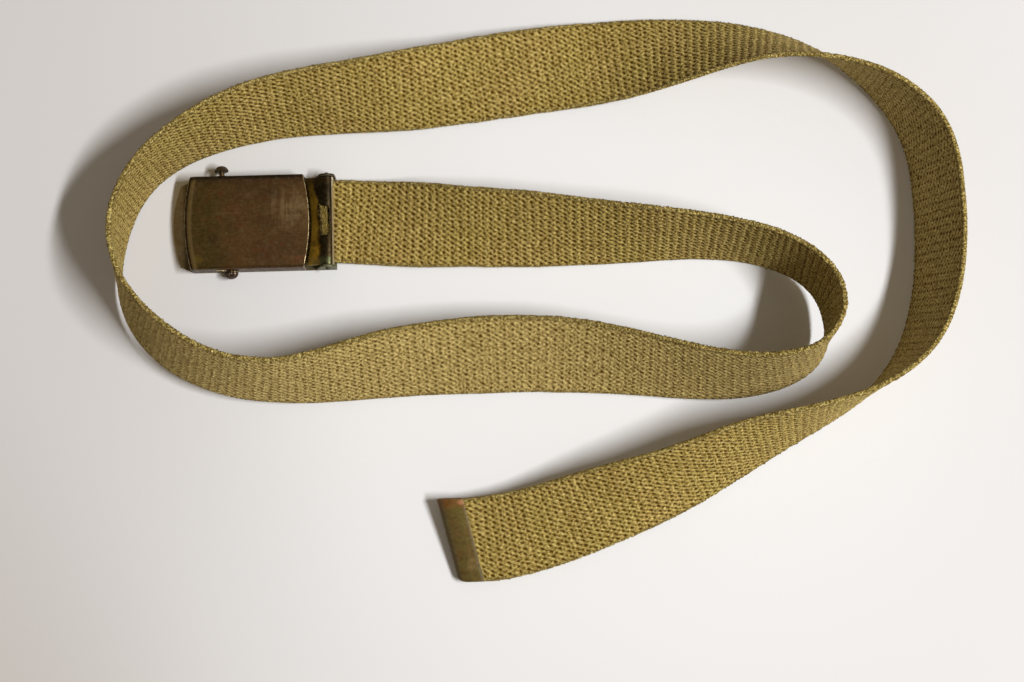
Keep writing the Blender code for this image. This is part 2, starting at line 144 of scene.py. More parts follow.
class Nodes:
    """Builds a Principled material from small node expressions."""

    def __init__(self, name):
        self.material = bpy.data.materials.new(name)
        self.material.use_nodes = True
        self.tree = self.material.node_tree
        self.shader = self.tree.nodes["Principled BSDF"]
        self.where = self.add("ShaderNodeTexCoord").outputs["Object"]

    def add(self, kind, **settings):
        node = self.tree.nodes.new(kind)
        for key, value in settings.items():
            setattr(node, key, value)
        return node

    def plug(self, socket, value):
        if isinstance(value, bpy.types.NodeSocket):
            self.tree.links.new(value, socket)
        elif isinstance(value, tuple) and socket.type == "RGBA":
            socket.default_value = (*value, 1.0)
        else:
            socket.default_value = value

    def math(self, operation, first, second=0.0, clamp=False):
        node = self.add("ShaderNodeMath", operation=operation, use_clamp=clamp)
        self.plug(node.inputs[0], first)
        self.plug(node.inputs[1], second)
        return node.outputs[0]

    def scaled(self, vector, scale, offset=(0.0, 0.0, 0.0), turn=(0.0, 0.0, 0.0)):
        node = self.add("ShaderNodeMapping")
        self.plug(node.inputs["Vector"], vector)
        node.inputs["Scale"].default_value = scale
        node.inputs["Location"].default_value = offset
        node.inputs["Rotation"].default_value = turn
        return node.outputs[0]

    def noise(self, vector, size_mm, detail=3.0, rough=0.55, distortion=0.0):
        node = self.add("ShaderNodeTexNoise")
        self.plug(node.inputs["Vector"], vector)
        node.inputs["Scale"].default_value = 1000.0 / size_mm
        node.inputs["Detail"].default_value = detail
        node.inputs["Roughness"].default_value = rough
        node.inputs["Distortion"].default_value = distortion
        return node.outputs["Fac"]

    def ramp(self, value, low, high, smooth=True):
        """0 below low, 1 above high."""
        node = self.add("ShaderNodeMapRange", interpolation_type="SMOOTHSTEP" if smooth else "LINEAR")
        self.plug(node.inputs["Value"], value)
        node.inputs["From Min"].default_value = low
        node.inputs["From Max"].default_value = high
        return node.outputs[0]

    def mix(self, share, first, second):
        node = self.add("ShaderNodeMix", data_type="RGBA")
        self.plug(node.inputs[0], share)
        self.plug(node.inputs[6], first)
        self.plug(node.inputs[7], second)
        return node.outputs[2]

    def number(self, name):
        return self.add("ShaderNodeAttribute", attribute_name=name).outputs["Fac"]

    def bump(self, height, depth_mm, strength=1.0, before=None):
        node = self.add("ShaderNodeBump")
        node.inputs["Strength"].default_value = strength
        node.inputs["Distance"].default_value = depth_mm * MM
        self.plug(node.inputs["Height"], height)
        if before is not None:
            self.plug(node.inputs["Normal"], before)
        return node.outputs[0]

    def set(self, **values):
        for key, value in values.items():
            self.plug(self.shader.inputs[key.replace("_", " ")], value)
        return self.material


def srgb(red, green, blue):
    """Linear colour of 0 to 255 display values."""
    values = []
    for level in (red, green, blue):
        share = level / 255
        values.append(share / 12.92 if share <= 0.04045 else ((share + 0.055) / 1.055) ** 2.4)
    return tuple(values)


COTTON_OLIVE = srgb(168, 146, 68)
COTTON_TAN = srgb(180, 152, 80)
COTTON_BROWN = srgb(134, 100, 42)
COTTON_PALE = srgb(184, 160, 104)
COTTON_LIGHT_AND_HIGHLIGHT = srgb(244, 222, 144)
COTTON_DARK_AND_SHADE = srgb(104, 78, 18)
COTTON_PIT_SHADE = srgb(78, 52, 4)
COTTON_RIM_DIRT_AND_SHADE = srgb(82, 64, 22)

# Webbing ----------------------------------------------------------------------------------------


def spline(knots, values):
    """A natural cubic through the values at the knots, as a function of the knot value."""
    steps = np.diff(knots)
    count = len(knots)
    matrix = np.zeros((count, count))
    right = np.zeros(count)
    matrix[0, 0] = 1
    matrix[-1, -1] = 1
    for i in range(1, count - 1):
        matrix[i, i - 1 : i + 2] = steps[i - 1], 2 * (steps[i - 1] + steps[i]), steps[i]
        right[i] = 6 * ((values[i + 1] - values[i]) / steps[i] - (values[i] - values[i - 1]) / steps[i - 1])
    bends = np.linalg.solve(matrix, right)

    def value(at):
        i = np.clip(np.searchsorted(knots, at) - 1, 0, count - 2)
        h = steps[i]
        before = (knots[i + 1] - at) / h
        after = (at - knots[i]) / h
        curve = (before**3 - before) * bends[i] + (after**3 - after) * bends[i + 1]
        return before * values[i] + after * values[i + 1] + curve * h * h / 6

    return value


def webbing_frames():
    """(middle, along, across, up, distance) of the webbing at even steps, in millimetres."""
    route = np.array(ROUTE, float)
    knots = np.concatenate([[0], np.cumsum(np.hypot(*np.diff(route[:, :2], axis=0).T))])
    fine = np.linspace(0, knots[-1], ROUTE_SAMPLES)
    x, y, lift, lean = (spline(knots, route[:, column])(fine) for column in range(4))
    lean = np.radians(lean)
    raised = np.sqrt(np.sin(lean) ** 2 + FLAT_SOFTNESS**2)
    on_metal = raised - FLAT_SOFTNESS * np.exp(-((fine / ON_METAL_LENGTH) ** 4))
    z = lift + WIDTH / 2 * on_metal + THICKNESS / 2 * np.abs(np.cos(lean))
    middle = np.stack([x, y, z], axis=1)
    length = np.concatenate([[0], np.cumsum(np.linalg.norm(np.diff(middle, axis=0), axis=1))])
    count = int(round(length[-1] / CELL_LENGTH * STEPS_ALONG))
    at = np.linspace(0, length[-1], count + 1)
    middle = np.stack([np.interp(at, length, middle[:, k]) for k in range(3)], axis=1)
    lean = np.interp(at, length, lean)
    wide = np.gradient(middle, axis=0)
    kernel = np.hanning(SMOOTHING) / np.hanning(SMOOTHING).sum()
    margin = SMOOTHING // 2
    padded = np.pad(wide, ((margin, margin), (0, 0)), mode="edge")
    along = np.stack([np.convolve(padded[:, k], kernel, "valid") for k in range(3)], axis=1)
    along /= np.linalg.norm(along, axis=1)[:, None]
    level = np.stack([-along[:, 1], along[:, 0], 0 * lean], axis=1)
    level /= np.linalg.norm(level, axis=1)[:, None]
    rise = np.cross(along, level)
    across = level * np.cos(lean)[:, None] + rise * np.sin(lean)[:, None]
    share = np.clip(1 - (at[-1] - at) / CRIMP_LENGTH, 0, 1)
    share = (share * share * (3 - 2 * share))[:, None]
    across = across * (1 - END_NARROWING * share) - along * END_SKEW * share
    return middle, along, across, np.cross(along, across), at


def slow(at, seed, size):
    """A smooth random wander along the webbing."""
    local = np.random.default_rng(seed)
    knots = np.arange(at[0] - size, at[-1] + 2 * size, size)
    return np.interp(at, knots, local.normal(0, 1, len(knots)))


def pits(along_cells, across_cells):
    """Depth of the weave's hollows, 0 to 1: one large slanted hollow and one small one in each cell.

    The hollows of the cells around reach into each cell, so they are added too."""
    depth = np.zeros(np.broadcast(along_cells, across_cells).shape)
    for centre_u, centre_v, long_half, short_half, amount in (LARGE_PIT, SMALL_PIT):
        u = (along_cells - centre_u + 0.5) % 1 - 0.5
        v = (across_cells - centre_v + 0.5) % 1 - 0.5
        for du in (-1, 0, 1):
            for dv in (-1, 0, 1):
                x = (u + du) * CELL_LENGTH
                y = (v + dv) * CELL_WIDTH
                a = x * math.cos(SLANT) - y * math.sin(SLANT)
                b = x * math.sin(SLANT) + y * math.cos(SLANT)
                depth += amount * np.exp(-((a / long_half) ** 2) - (b / short_half) ** 2)
    return depth.clip(0, 1)


def make_mesh(name, points, faces, attributes=None, uv=None):
    """A smooth mesh from arrays: points in metres, faces as rows of equal length."""
    mesh = bpy.data.meshes.new(name)
    mesh.vertices.add(len(points))
    mesh.vertices.foreach_set("co", np.ascontiguousarray(points, np.float32).ravel())
    sides = faces.shape[1]
    mesh.loops.add(faces.size)
    mesh.loops.foreach_set("vertex_index", np.ascontiguousarray(faces, np.int32).ravel())
    mesh.polygons.add(len(faces))
    mesh.polygons.foreach_set("loop_start", np.arange(0, faces.size, sides, dtype=np.int32))
    mesh.update(calc_edges=True)
    mesh.shade_smooth()
    for key, values in (attributes or {}).items():
        layer = mesh.attributes.new(key, "FLOAT", "POINT")
        layer.data.foreach_set("value", np.ascontiguousarray(values, np.float32).ravel())
    if uv is not None:
        layer = mesh.uv_layers.new(name="OFBake")
        layer.uv.foreach_set("vector", np.ascontiguousarray(uv, np.float32).ravel())
    made = bpy.data.objects.new(name, mesh)
    bpy.context.scene.collection.objects.link(made)
    return made


def webbing_surface(frames):
    """Points of the woven strip, one ring round it for each step along it, and their attributes."""
    middle, along, across, up, at = frames
    flat = np.linspace(-1, 1, CELLS_ACROSS * STEPS_ACROSS + 1)
    radius = THICKNESS / 2
    half = WIDTH / 2 - radius * EDGE_ROUNDING
    turn = np.linspace(math.pi / 2, -math.pi / 2, EDGE_STEPS + 2)[1:-1]
    bulge = EDGE_ROUNDING * radius * np.cos(turn)
    whole = np.ones(len(flat))
    none = np.zeros(len(turn))
    t = np.concatenate([flat * half, half + bulge, -flat * half, -half - bulge])
    n = np.concatenate([whole, np.sin(turn), -whole, -np.sin(turn)])
    face = np.concatenate([whole, none, -whole, none])
    s = at[:, None] + 0 * t[None]
    side = np.where(face == 0, 0.0, 1.0)
    wander = 0.18 * slow(at, 3, 9.0) + 0.3 * slow(at, 4, 40.0)
    skew = 0.12 * slow(at, 5, 60.0)
    loose = np.random.default_rng(12).normal(0, 1, (len(at) // STEPS_ALONG + 2, CELLS_ACROSS + 2, 2))
    cells_u = (s + wander[:, None]) / CELL_LENGTH + skew[:, None] * t[None] / WIDTH
    cells_v = (t[None] + 0 * s) / CELL_WIDTH + 0.06 * slow(at, 6, 14.0)[:, None]
    row = np.clip(np.floor(cells_u + 0.5).astype(int), 0, loose.shape[0] - 1)
    column = np.clip(np.floor(cells_v + CELLS_ACROSS / 2 + 0.5).astype(int), 0, CELLS_ACROSS + 1)
    cells_u = cells_u + 0.045 * loose[row, column, 0]
    cells_v = cells_v + 0.06 * loose[row, column, 1]
    front = pits(cells_u, cells_v)
    back = BACK_PIT_SHARE * pits(cells_u + 0.5, -cells_v + 0.25)
    hollow = np.where(face > 0, front, np.where(face < 0, back, 0.0)) * side
    near_edge = np.clip((WIDTH / 2 - np.abs(t)) / 1.6, 0, 1)[None]
    hollow = hollow * (0.35 + 0.65 * near_edge)
    jitter = np.random.default_rng(7).normal(0, 1, hollow.shape)
    hollow = (hollow * (1 + 0.2 * jitter) + 0.05 * jitter * side).clip(0, 1.1)
    cord = 0.5 + 0.5 * np.cos(2 * math.pi * (cells_u * 2 + np.where(t > 0, 0.0, 0.5)))
    selvage = np.exp(-(((WIDTH / 2 - np.abs(t)) / SELVAGE_WIDTH) ** 2))[None]
    ridge = (0.07 * np.cos(4 * math.pi * cells_u) - 0.12 * np.cos(2 * math.pi * cells_u)) * side
    lift = ridge - PIT_DEPTH * hollow + selvage * (0.05 * cord - 0.02 + 0.13 * jitter)
    outwards = np.where(face == 0, np.sign(t), 0.0)[None]
    sideways = outwards * (0.14 * cord - 0.08) + 0.12 * jitter * selvage
    wobble = 0.12 * slow(at, 8, 22.0)[:, None] + 0.08 * slow(at, 9, 7.0)[:, None]
    shift = t[None] + sideways + wobble * np.sign(t)[None] * np.abs(t / (WIDTH / 2))[None] ** 3
    height = n[None] * THICKNESS / 2 + lift * np.where(face == 0, np.abs(n), 1.0) * np.sign(n + 1e-9)[None]
    points = middle[:, None] + across[:, None] * shift[..., None] + up[:, None] * height[..., None]
    points[..., 2] = points[..., 2].clip(FLOOR_GAP)
    attributes = {
        "along_mm": s,
        "across_mm": 0 * s + t[None],
        "hollow": hollow,
        "edge": 0 * s + selvage,
        "back": 0 * s + (face < 0)[None],
    }
    return points, attributes


def webbing_uv(rows, ring):
    """The strip cut into rows that fill a square map, so that a bake keeps the weave sharp."""
    per_band = int(math.ceil((rows - 1) / UV_BANDS))
    step = np.arange(rows - 1)
    band = step // per_band
    inside = step - band * per_band
    around = np.arange(ring)
    u0 = inside / per_band
    u1 = (inside + 1) / per_band
    v_size = 1 / UV_BANDS / (ring + 2)
    v0 = band[:, None] / UV_BANDS + (around[None] + 1) * v_size
    corners = np.empty((rows - 1, ring, 4, 2), np.float32)
    corners[..., 0, 0] = u0[:, None]
    corners[..., 1, 0] = u0[:, None]
    corners[..., 2, 0] = u1[:, None]
    corners[..., 3, 0] = u1[:, None]
    corners[..., 0, 1] = v0
    corners[..., 1, 1] = v0 + v_size
    corners[..., 2, 1] = v0 + v_size
    corners[..., 3, 1] = v0
    return corners.reshape(-1, 2)


def cotton_material():
    """Khaki yarns that lean with the weave: painted highlight on the yarn crests, painted shade between
    them and in the hollows, and a speckled selvage of dirt, painted shade and glints.
    """
    m = Nodes("khaki_cotton_weave")
    along = m.number("along_mm")
    across = m.number("across_mm")
    hollow = m.number("hollow")
    edge = m.number("edge")
    back = m.number("back")
    strip = m.add("ShaderNodeCombineXYZ")
    m.plug(strip.inputs[0], along)
    m.plug(strip.inputs[1], across)
    m.plug(strip.inputs[2], m.math("MULTIPLY", back, 50.0))
    strip = m.scaled(strip.outputs[0], (MM, MM, MM))
    patches = m.noise(strip, 26.0, 4.0, 0.6)
    bands = m.noise(m.scaled(strip, (1.0, 0.25, 1.0)), 7.0, 3.0, 0.6)
    fibres = m.noise(strip, 0.85, 3.0, 0.85)
    coarse = m.noise(strip, 1.5, 2.0, 0.7)
    speck = m.noise(strip, 0.9, 2.0, 0.6)
    column = m.math("SIGN", m.math("SINE", m.math("MULTIPLY", along, 2 * math.pi / CELL_LENGTH)))
    lean = m.math("MULTIPLY", m.math("MULTIPLY", along, column), 0.9)
    yarn = m.math("SINE", m.math("MULTIPLY", m.math("ADD", across, lean), 2 * math.pi / YARN_PITCH))
    yarn = m.math("ADD", yarn, m.math("MULTIPLY", m.math("SUBTRACT", fibres, 0.5), 6.0))
    base = m.mix(m.ramp(patches, 0.35, 0.68), COTTON_OLIVE, COTTON_TAN)
    base = m.mix(m.math("MULTIPLY", m.ramp(bands, 0.4, 0.72), 0.45), base, COTTON_BROWN)
    base = m.mix(m.math("MULTIPLY", back, 0.6), base, COTTON_PALE)
    # Painted highlight on the yarn crests and painted shade between them.
    base = m.mix(m.math("MULTIPLY", m.ramp(yarn, 0.3, 1.5), 0.9), base, COTTON_LIGHT_AND_HIGHLIGHT)
    base = m.mix(m.math("MULTIPLY", m.ramp(yarn, -0.2, -1.6), 0.75), base, COTTON_DARK_AND_SHADE)
    base = m.mix(m.math("MULTIPLY", m.ramp(coarse, 0.5, 0.34), 0.4), base, COTTON_DARK_AND_SHADE)
    grain = m.noise(m.where, 0.75, 1.0, 0.7)
    base = m.mix(m.math("MULTIPLY", m.ramp(grain, 0.53, 0.66), 0.4), base, COTTON_LIGHT_AND_HIGHLIGHT)
    base = m.mix(m.math("MULTIPLY", m.ramp(grain, 0.47, 0.34), 0.5), base, COTTON_DARK_AND_SHADE)
    # Painted shade: the weave's hollows are coloured darker.
    base = m.mix(m.ramp(hollow, 0.05, 0.7), base, COTTON_PIT_SHADE)
    dark_speck = m.noise(m.where, 0.8, 2.0, 0.7)
    light_speck = m.noise(m.scaled(m.where, (1.0, 1.0, 1.0), (0.3, 0.2, 0.1)), 0.7, 2.0, 0.7)
    # Dark specks along the selvage: partly dirt, partly painted shade of the rounded edge.
    rim = m.math("MULTIPLY", m.ramp(edge, 0.03, 0.45), m.ramp(dark_speck, 0.38, 0.5))
    base = m.mix(m.math("MULTIPLY", rim, 0.85), base, COTTON_RIM_DIRT_AND_SHADE)
    glint = m.math("MULTIPLY", m.ramp(edge, 0.1, 0.6), m.ramp(light_speck, 0.52, 0.62))
    base = m.mix(m.math("MULTIPLY", glint, 0.5), base, COTTON_LIGHT_AND_HIGHLIGHT)
    normal = m.bump(m.math("ADD", m.math("MULTIPLY", yarn, 0.25), speck), 0.14, 0.7)
    return m.set(
        Base_Color=base, Roughness=0.96, Normal=normal, Sheen_Weight=0.05, Specular_IOR_Level=0.1
    )


def make_webbing(frames):
    """The woven strip as one closed mesh, and its points in millimetres."""
    points, attributes = webbing_surface(frames)
    rows, ring = points.shape[:2]
    index = np.arange(rows * ring).reshape(rows, ring)
    after = np.roll(index, -1, axis=1)
    quads = np.stack([index[:-1], after[:-1], after[1:], index[1:]], axis=-1).reshape(-1, 4)
    made = make_mesh("woven_webbing", points.reshape(-1, 3) * MM, quads, attributes, webbing_uv(rows, ring))
    shape = bmesh.new()
    shape.from_mesh(made.data)
    shape.edges.ensure_lookup_table()
    ends = bmesh.ops.holes_fill(shape, edges=[e for e in shape.edges if e.is_boundary], sides=0)["faces"]
    bmesh.ops.triangulate(shape, faces=ends)
    shape.to_mesh(made.data)
    shape.free()
    made.data.materials.append(cotton_material())
    return made, points


def make_fibres(name, roots, ways, lengths, radius, material, seed):
    """Thin curled fibres, as three-sided tubes that taper off, from roots (mm) in the given directions."""
    local = np.random.default_rng(seed)
    count = len(roots)
    ways = ways / np.linalg.norm(ways, axis=1)[:, None]
    bend = local.normal(0, 0.55, (count, 3))
    part = np.linspace(0, 1, FIBRE_POINTS)
    spine = ways[:, None] * part[None, :, None] + bend[:, None] * (part**2)[None, :, None] * 0.6
    spine += local.normal(0, 0.05, spine.shape) * part[None, :, None]
    spine = roots[:, None] + spine * lengths[:, None, None]
    along = np.gradient(spine, axis=1)
    along /= np.linalg.norm(along, axis=2)[..., None]
    side = np.cross(along, np.array([0.3, 0.5, 0.81]))
    side /= np.linalg.norm(side, axis=2)[..., None]
    other = np.cross(along, side)
    thick = radius[:, None] * (1.0 - 0.7 * part[None])
    rings = []
    for turn in range(FIBRE_SIDES):
        angle = 2 * math.pi * turn / FIBRE_SIDES
        rings.append(spine + (side * math.cos(angle) + other * math.sin(angle)) * thick[..., None])
    points = np.stack(rings, axis=2)
    points[..., 2] = points[..., 2].clip(FLOOR_GAP)
    index = np.arange(count * FIBRE_POINTS * FIBRE_SIDES).reshape(count, FIBRE_POINTS, FIBRE_SIDES)
    after = np.roll(index, -1, axis=2)
    quads = np.stack([index[:, :-1], after[:, :-1], after[:, 1:], index[:, 1:]], axis=-1).reshape(-1, 4)
    uv = np.empty((len(quads), 4, 2), np.float32)
    grid = int(math.ceil(math.sqrt(len(quads))))
    column = (np.arange(len(quads)) % grid)[:, None]
    row = (np.arange(len(quads)) // grid)[:, None]
    uv[..., 0] = (column + np.array([[0.2, 0.8, 0.8, 0.2]])) / grid
    uv[..., 1] = (row + np.array([[0.2, 0.2, 0.8, 0.8]])) / grid
    made = make_mesh(name, points.reshape(-1, 3) * MM, quads, None, uv.reshape(-1, 2))
    made.data.materials.append(material)
    return made


def fibre_material(name, first, second, size_mm=1.6):
    """Cotton fibres in patches of two tones."""
    m = Nodes(name)
    colour = m.mix(m.ramp(m.noise(m.where, size_mm, 2.0), 0.35, 0.65), first, second)
    return m.set(Base_Color=colour, Roughness=0.9, Sheen_Weight=0.1, Specular_IOR_Level=0.15)


def make_fuzz(frames, surface):
    """Loose fibres along both selvages and, fewer and shorter, over the faces."""
    middle, along, across, up, at = frames
    rows, ring = surface.shape[:2]
    local = np.random.default_rng(21)
    row = local.integers(3, rows - 3, EDGE_FIBRES)
    side = local.choice([-1.0, 1.0], EDGE_FIBRES)
    height = local.uniform(-0.8, 0.8, EDGE_FIBRES)
    reach = WIDTH / 2 - 0.2 * np.abs(height)
    roots = middle[row] + across[row] * (side * reach)[:, None] + up[row] * height[:, None]
    ways = across[row] * side[:, None] + along[row] * local.normal(0, 0.9, EDGE_FIBRES)[:, None]
    ways += up[row] * local.normal(0, 0.6, EDGE_FIBRES)[:, None]
    lengths = local.uniform(0.3, 1.0, EDGE_FIBRES) ** 1.5
    row = local.integers(3, rows - 3, FACE_FIBRES)
    side = local.choice([-1.0, 1.0], FACE_FIBRES)
    sideways = local.uniform(-1, 1, FACE_FIBRES) * (WIDTH / 2 - 1)
    more = middle[row] + across[row] * sideways[:, None] + up[row] * (side * THICKNESS * 0.44)[:, None]
    tips = up[row] * (0.4 * side)[:, None] + along[row] * local.normal(0, 1, FACE_FIBRES)[:, None]
    tips += across[row] * local.normal(0, 1, FACE_FIBRES)[:, None]
    roots = np.concatenate([roots, more])
    ways = np.concatenate([ways, tips])
    lengths = np.concatenate([lengths, local.uniform(0.3, 0.9, FACE_FIBRES)])
    keep = np.linalg.norm(roots[:, :2] - np.array([PIN_X, 0.0]), axis=1) > CLEAR_OF_BUCKLE
    keep &= np.linalg.norm(roots - middle[-1], axis=1) > CLEAR_OF_TIP
    keep &= roots[:, 2] > 0.5
    radius = local.uniform(0.016, 0.03, len(roots))
    stuff = fibre_material("loose_cotton", COTTON_TAN, COTTON_LIGHT_AND_HIGHLIGHT)
    return make_fibres("loose_fibres", roots[keep], ways[keep], lengths[keep], radius[keep], stuff, 22)


def make_fray():
    """A pale tuft of worn yarn ends in the lever's window."""
    local = np.random.default_rng(31)
    down = local.uniform(0, 1, TUFT_FIBRES)
    roots = np.stack([
        TUFT_LEFT + TUFT_SLOPE * down + local.uniform(0, TUFT_WIDTH, TUFT_FIBRES),
        TUFT_NORTH + (TUFT_SOUTH - TUFT_NORTH) * down,
        local.uniform(*TUFT_LEVELS, TUFT_FIBRES),
    ], axis=1)
    ways = np.stack([
        local.normal(-0.2, 0.6, TUFT_FIBRES),
        local.normal(0, 1.0, TUFT_FIBRES),
        local.uniform(-0.1, 0.6, TUFT_FIBRES),
    ], axis=1)
    lengths = local.uniform(0.4, 1.8, TUFT_FIBRES)
    radius = local.uniform(0.03, 0.07, TUFT_FIBRES)
    stuff = fibre_material("frayed_cotton", srgb(244, 214, 112), srgb(112, 84, 24), 0.5)
    return make_fibres("frayed_yarn", roots, ways, lengths, radius, stuff, 32)


frames = webbing_frames()
webbing, surface = make_webbing(frames)
fuzz = make_fuzz(frames, surface)
fray = make_fray()
for cloth, body in ((webbing, "belt"), (fuzz, "belt"), (fray, "clamp")):
    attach(cloth, body)
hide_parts("webbing")

# Metal ------------------------------------------------------------------------------------------


def refined(node, bevel, angle=28.0, rows=3):
    """A copy of a CAD node with its sharp edges rounded over, which carries the share of wear on them."""
    shape = bmesh.new()
    shape.from_mesh(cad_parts[node].data)
    bmesh.ops.remove_doubles(shape, verts=shape.verts, dist=1e-6)
    bmesh.ops.dissolve_limit(shape, angle_limit=math.radians(0.4), verts=shape.verts, edges=shape.edges)
    worn = shape.faces.layers.float.new("worn")
    limit = math.radians(angle)
    sharp = [e for e in shape.edges if len(e.link_faces) == 2 and e.calc_face_angle() > limit]
    done = bmesh.ops.bevel(
        shape, geom=sharp, offset=bevel * MM, offset_type="OFFSET", segments=rows, profile=0.6,
        affect="EDGES", clamp_overlap=True,
    )
    for face in done["faces"]:
        if face.is_valid:
            face[worn] = 1.0
    bmesh.ops.triangulate(shape, faces=[f for f in shape.faces if len(f.verts) > 4])
    mesh = bpy.data.meshes.new(node + "_metal")
    shape.to_mesh(mesh)
    shape.free()
    mesh.shade_smooth()
    mesh.set_sharp_from_angle(angle=math.radians(34))
    made = bpy.data.objects.new(node + "_metal", mesh)
    bpy.context.scene.collection.objects.link(made)
    return made


class Metal(Nodes):
    """A worn, tarnished sheet metal: tones laid over one another, then scratches, specks and bare edges."""

    def __init__(self, name, base):
        super().__init__(name)
        self.point = self.scaled(self.where, (1000.0, 1000.0, 1000.0))
        parts = self.add("ShaderNodeSeparateXYZ")
        self.plug(parts.inputs[0], self.point)
        self.x, self.y, self.z = parts.outputs
        self.colour = base

    def cloud(self, size, low, high, detail=4.0, stretch=(1.0, 1.0, 1.0), distortion=0.0):
        node = self.add("ShaderNodeTexNoise")
        scale = tuple(part / size for part in stretch)
        self.plug(node.inputs["Vector"], self.scaled(self.point, scale))
        node.inputs["Scale"].default_value = 1.0
        node.inputs["Detail"].default_value = detail
        node.inputs["Roughness"].default_value = 0.62
        node.inputs["Distortion"].default_value = distortion
        return self.ramp(node.outputs["Fac"], low, high)

    def spot(self, x, y, wide, tall, rough=0.5):
        """1 at the spot's middle and 0 outside it, with an uneven rim."""
        across = self.math("DIVIDE", self.math("SUBTRACT", self.x, x), wide)
        down = self.math("DIVIDE", self.math("SUBTRACT", self.y, y), tall)
        far = self.math("ADD", self.math("MULTIPLY", across, across), self.math("MULTIPLY", down, down))
        uneven = self.math("MULTIPLY", self.cloud(4.0, 0.2, 0.8), rough)
        return self.ramp(self.math("ADD", far, uneven), 1.2, 0.1)

    def layer(self, share, colour, amount=1.0):
        self.colour = self.mix(self.math("MULTIPLY", share, amount, clamp=True), self.colour, colour)

    def finish(self, rough, metallic, bare, bare_share=0.8, depth=0.05):
        streaks = self.cloud(0.35, 0.35, 0.75, 3.0, (0.06, 1.0, 1.0))
        scratches = self.cloud(0.5, 0.66, 0.7, 2.0, (0.03, 1.0, 1.0), 0.6)
        specks = self.cloud(0.7, 0.62, 0.72, 2.0)
        waves = self.cloud(7.0, 0.0, 1.0, 2.0)
        self.layer(streaks, tuple(0.72 * part for part in bare), 0.03)
        self.layer(scratches, bare, 0.07)
        self.layer(self.cloud(1.3, 0.4, 0.75, 4.0), tuple(0.6 * part for part in bare), 0.09)
        self.layer(self.cloud(1.1, 0.45, 0.75, 4.0), (0.02, 0.012, 0.005), 0.35)
        self.layer(specks, (0.012, 0.008, 0.004), 0.5)
        worn = self.math("MULTIPLY", self.number("worn"), self.cloud(1.6, 0.36, 0.6))
        worn = self.math("MULTIPLY", worn, bare_share)
        self.layer(worn, bare)
        roughness = self.math("ADD", rough, self.math("MULTIPLY", self.cloud(2.4, 0.3, 0.7), 0.14))
        roughness = self.math("SUBTRACT", roughness, self.math("MULTIPLY", worn, 0.18))
        fine = self.math("ADD", self.math("MULTIPLY", streaks, 0.35), self.math("MULTIPLY", specks, -0.6))
        normal = self.bump(self.math("ADD", fine, self.math("MULTIPLY", waves, 3.0)), depth, 0.6)
        return self.set(
            Base_Color=self.colour,
            Metallic=metallic,
            Roughness=roughness,
            Normal=normal,
            Specular_IOR_Level=0.2,
        )


BARE_BRASS = srgb(206, 186, 140)
BARE_WARM = srgb(190, 140, 84)
COVER_HALF_WIDTH = 17.575
COVER_BOW = 2.2


def cover_material():
    """Brown bronze, olive at the left, with a worn patch at the right, a painted highlight on the rolled
    end and a painted shadow at its outer edge.
    """
    m = Metal("bronze_cover", srgb(86, 60, 26))
    m.layer(m.cloud(16.0, 0.38, 0.62), srgb(74, 50, 21))
    m.layer(m.math("MULTIPLY", m.ramp(m.x, -6.0, -17.0), m.cloud(8.0, 0.25, 0.6)), srgb(66, 52, 12), 0.9)
    m.layer(m.cloud(3.2, 0.52, 0.68, 5.0), srgb(92, 48, 22), 0.5)
    m.layer(m.spot(15.5, 4.0, 8.0, 11.0, 1.0), srgb(124, 102, 66), 0.6)
    m.layer(m.spot(15.5, -14.6, 8.0, 2.6, 0.9), srgb(112, 60, 26), 0.4)
    m.layer(m.spot(-6.0, 5.0, 5.0, 9.0, 1.0), srgb(86, 46, 22), 0.45)
    m.layer(m.spot(6.0, -11.0, 9.0, 6.0, 1.0), srgb(84, 42, 22), 0.4)
    m.layer(m.spot(8.0, 10.0, 5.0, 4.0, 1.0), srgb(52, 30, 14), 0.5)
    m.layer(m.spot(-15.0, -6.5, 4.0, 3.4, 1.1), srgb(44, 28, 10), 0.7)
    m.layer(m.spot(-20.0, -14.0, 2.4, 2.4), srgb(96, 78, 16), 0.7)
    m.layer(m.ramp(m.y, 13.0, 16.5), srgb(60, 36, 18), 0.6)
    bowed = m.math("MULTIPLY", m.math("MULTIPLY", m.y, m.y), COVER_BOW / COVER_HALF_WIDTH**2)
    bowed = m.math("SUBTRACT", m.x, bowed)
    # Painted highlight on the rolled left end.
    m.layer(m.ramp(bowed, -21.9, -22.9), srgb(120, 98, 58), 0.75)
    # Painted shadow at the outer edge of the rolled end.
    m.layer(m.ramp(bowed, -23.7, -24.3), srgb(24, 16, 8), 0.9)
    m.layer(m.ramp(m.y, 15.2, 16.6), srgb(26, 16, 8), 0.8)
    polish = m.cloud(0.9, 0.45, 0.7, 2.0, (1.0, 0.05, 1.0))
    m.layer(m.math("MULTIPLY", m.spot(13.0, 5.0, 9.0, 10.0), polish), srgb(150, 128, 92), 0.3)
    m.layer(m.ramp(m.z, 7.6, 4.6), srgb(72, 56, 40), 0.7)
    return m.finish(0.42, 0.55, BARE_BRASS, 0.9)


def base_material():
    """Dull bronze: pale at the lip, dark round the hinge, with green in the near corner."""
    m = Metal("bronze_base", srgb(182, 166, 140))
    m.layer(m.cloud(5.0, 0.4, 0.65), srgb(160, 140, 100), 0.7)
    m.layer(m.ramp(m.x, -27.6, -25.6), srgb(70, 56, 36), 0.7)
    m.layer(m.ramp(m.x, 22.0, 24.0), srgb(52, 44, 32), 0.9)
    m.layer(m.math("MULTIPLY", m.ramp(m.x, 22.0, 24.0), m.ramp(m.y, -13.0, -15.5)), srgb(104, 106, 72), 0.8)
    m.layer(m.math("MULTIPLY", m.cloud(2.0, 0.45, 0.65), m.ramp(m.y, -8.0, -15.0)), srgb(84, 96, 64), 0.5)
    return m.finish(0.45, 0.5, BARE_BRASS, 0.75)


